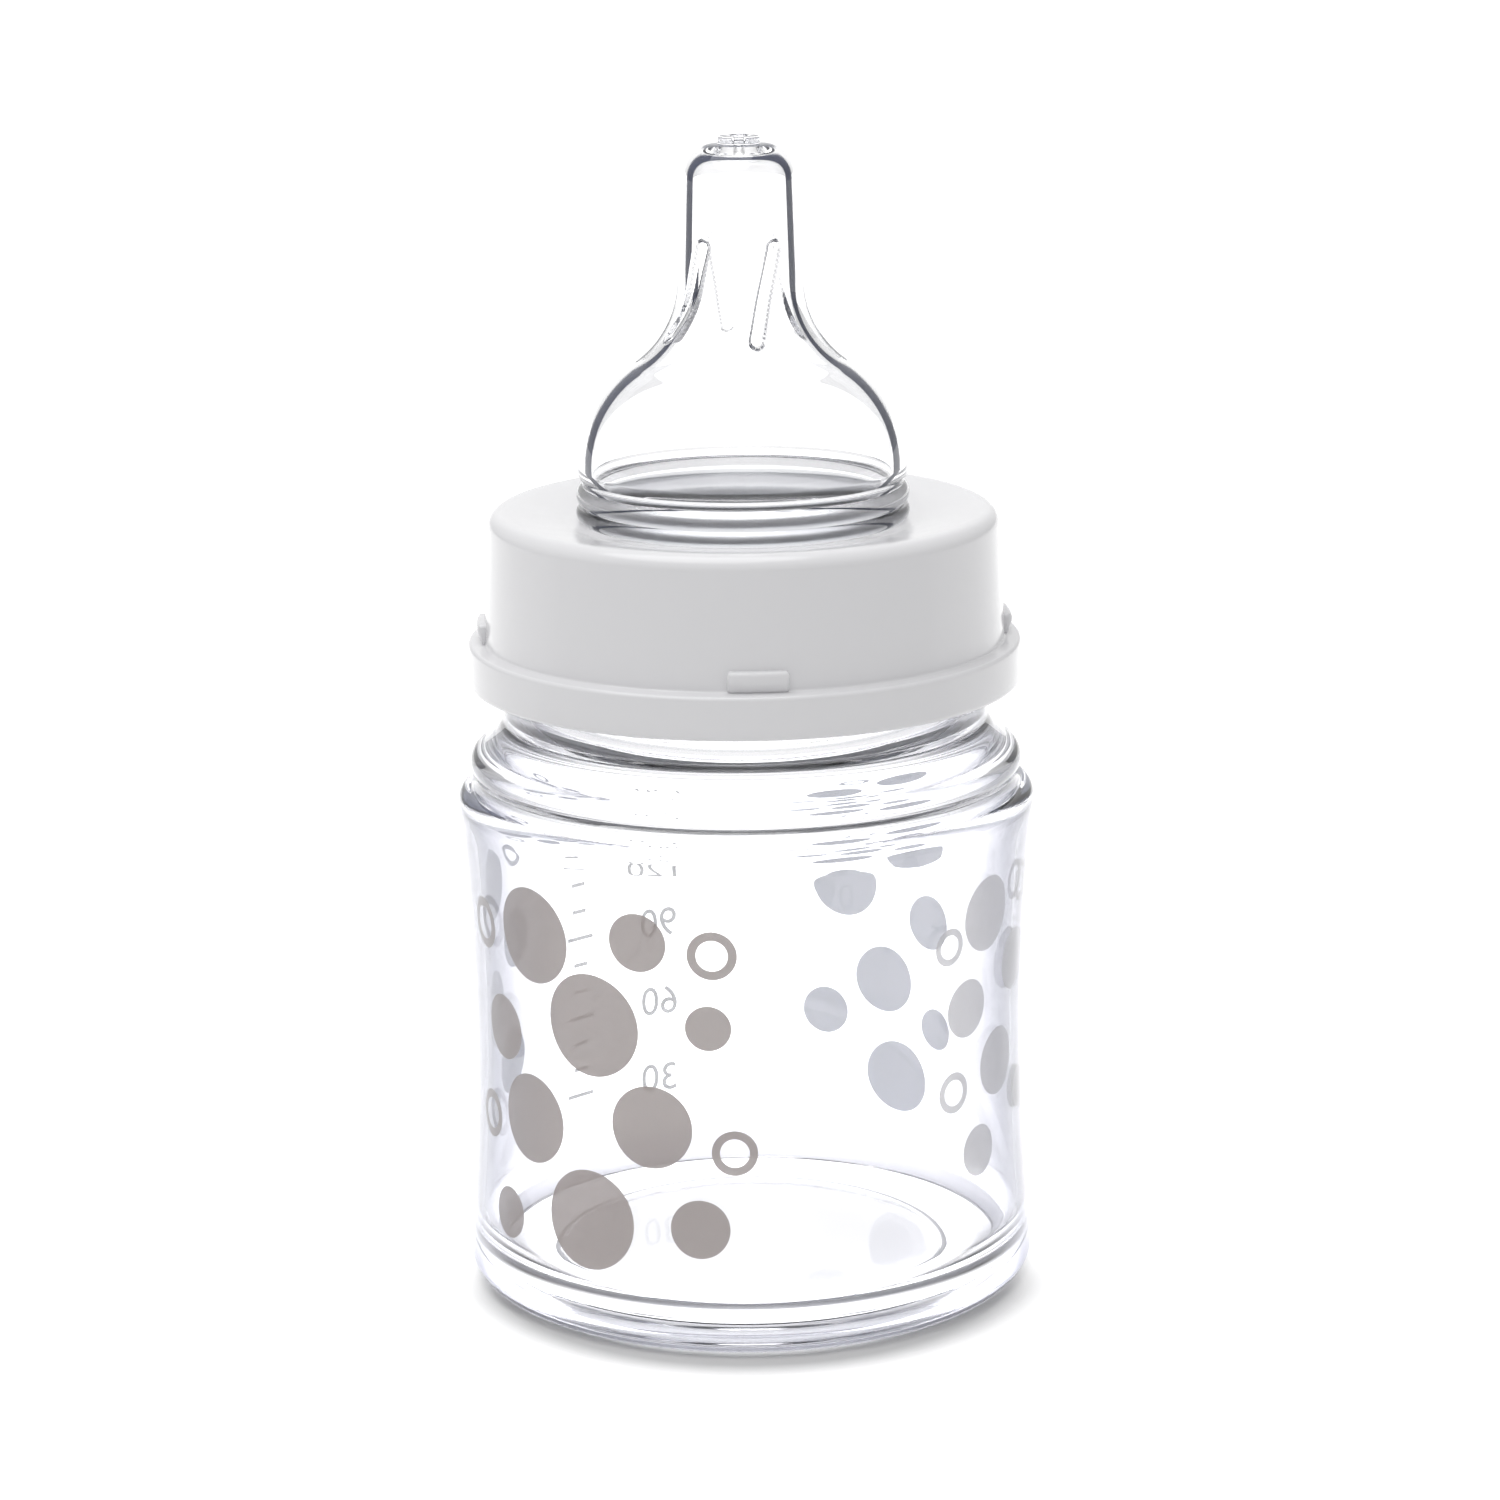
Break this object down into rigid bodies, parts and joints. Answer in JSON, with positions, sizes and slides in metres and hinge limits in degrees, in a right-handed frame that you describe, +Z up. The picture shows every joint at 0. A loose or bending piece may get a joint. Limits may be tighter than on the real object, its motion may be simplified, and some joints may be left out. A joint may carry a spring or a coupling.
{
  "type": "baby bottle",
  "caption": "Clear waisted feeding bottle with a soft teat clamped on its rim by a screw ring that turns and lifts off along the thread.",
  "frame": {"origin": "middle of the base, on the surface that the bottle stands on", "axes": "+Z up along the common axis of bottle, teat and ring; -Y is the pictured front"},
  "size_m": [0.067, 0.067, 0.1334],
  "materials": {
    "clear_plastic": "clear polished plastic",
    "silicone": "clear smooth silicone",
    "ring_plastic": "pale grey satin moulding"
  },
  "bodies": {
    "bottle": {"bottle": "clear_plastic"},
    "teat": {"teat": "silicone"},
    "screw_ring": {"screw_ring": "ring_plastic"}
  },
  "joints": [
    {"name": "teat_lift", "type": "slide", "parent": "bottle", "child": "teat", "axis": [0, 0, 1], "range_m": [0, 0.0075]},
    {"name": "ring_turn", "type": "hinge", "parent": "teat", "child": "screw_ring", "pos_m": [0, 0, 0.0884], "axis": [0, 0, 1], "range_deg": [0, 450]}
  ],
  "couplings": [
    {"joint": "teat_lift", "follows": "ring_turn", "m_per_rad": 0.00095493}
  ]
}
